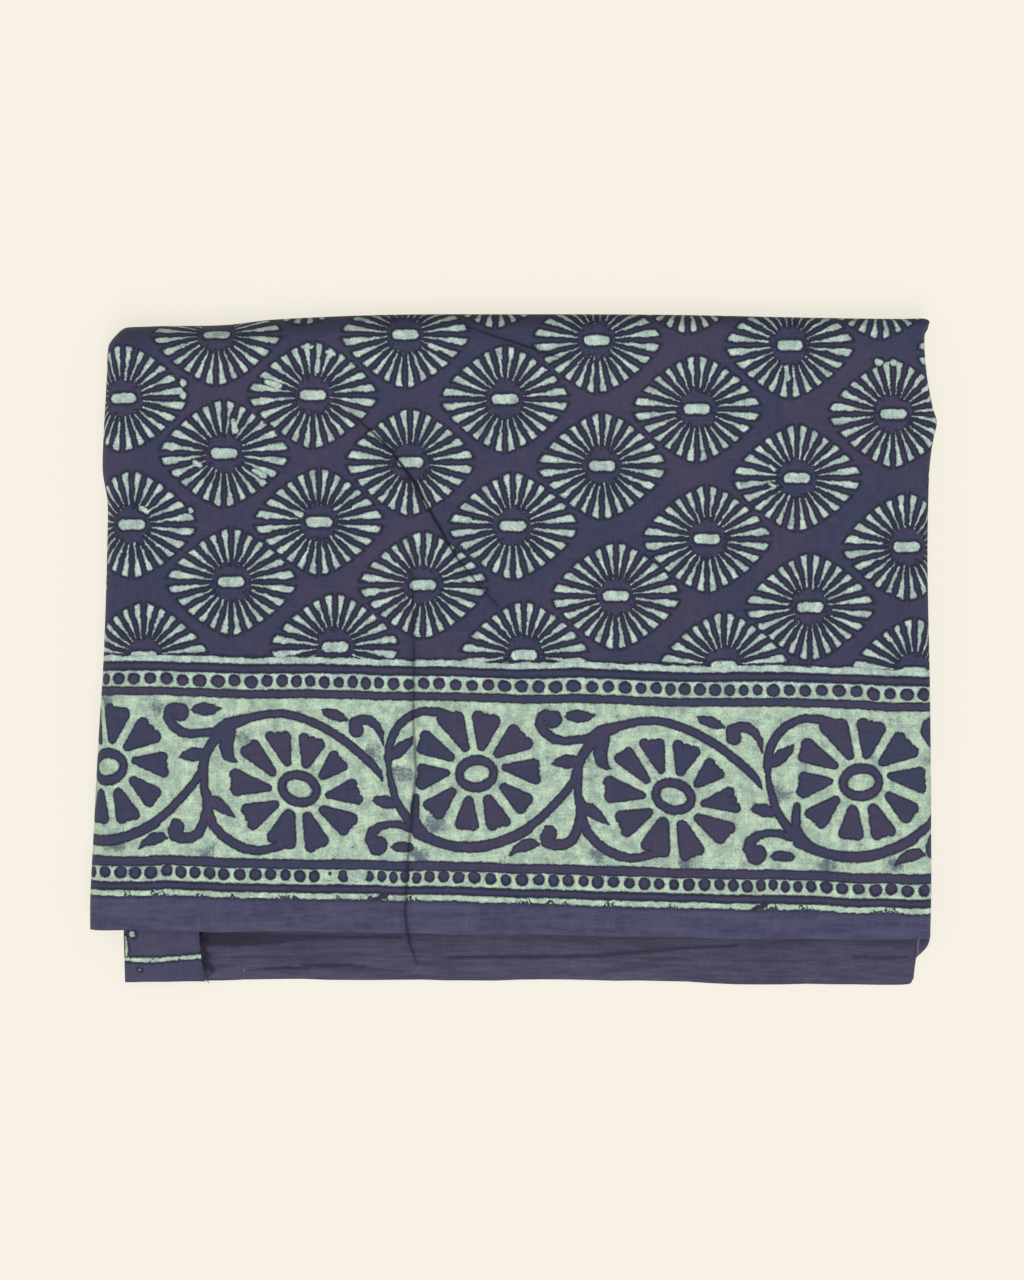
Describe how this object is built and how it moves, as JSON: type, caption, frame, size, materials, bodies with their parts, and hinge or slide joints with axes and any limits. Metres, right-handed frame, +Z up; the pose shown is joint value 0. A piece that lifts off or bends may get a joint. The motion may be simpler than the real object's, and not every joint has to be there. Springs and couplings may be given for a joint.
{
  "type": "folded dabu print fabric",
  "caption": "Cut length of block-printed indigo cotton, folded in quarters and rolled flat, its flowering vine border and selvages at the front.",
  "frame": {"origin": "middle of the folded cloth's box, on the surface that it lies on", "axes": "+X along the longer side of the fold, to the right; +Y from the selvages to the back fold; +Z up through the plies"},
  "size_m": [0.3892, 0.3086, 0.0209],
  "materials": {
    "printed_cotton": "matt plain-weave cotton, indigo with pale green resist print, soft speckle and slightly worn folds"
  },
  "bodies": {
    "root": {"folded_cloth": "printed_cotton"}
  },
  "joints": []
}
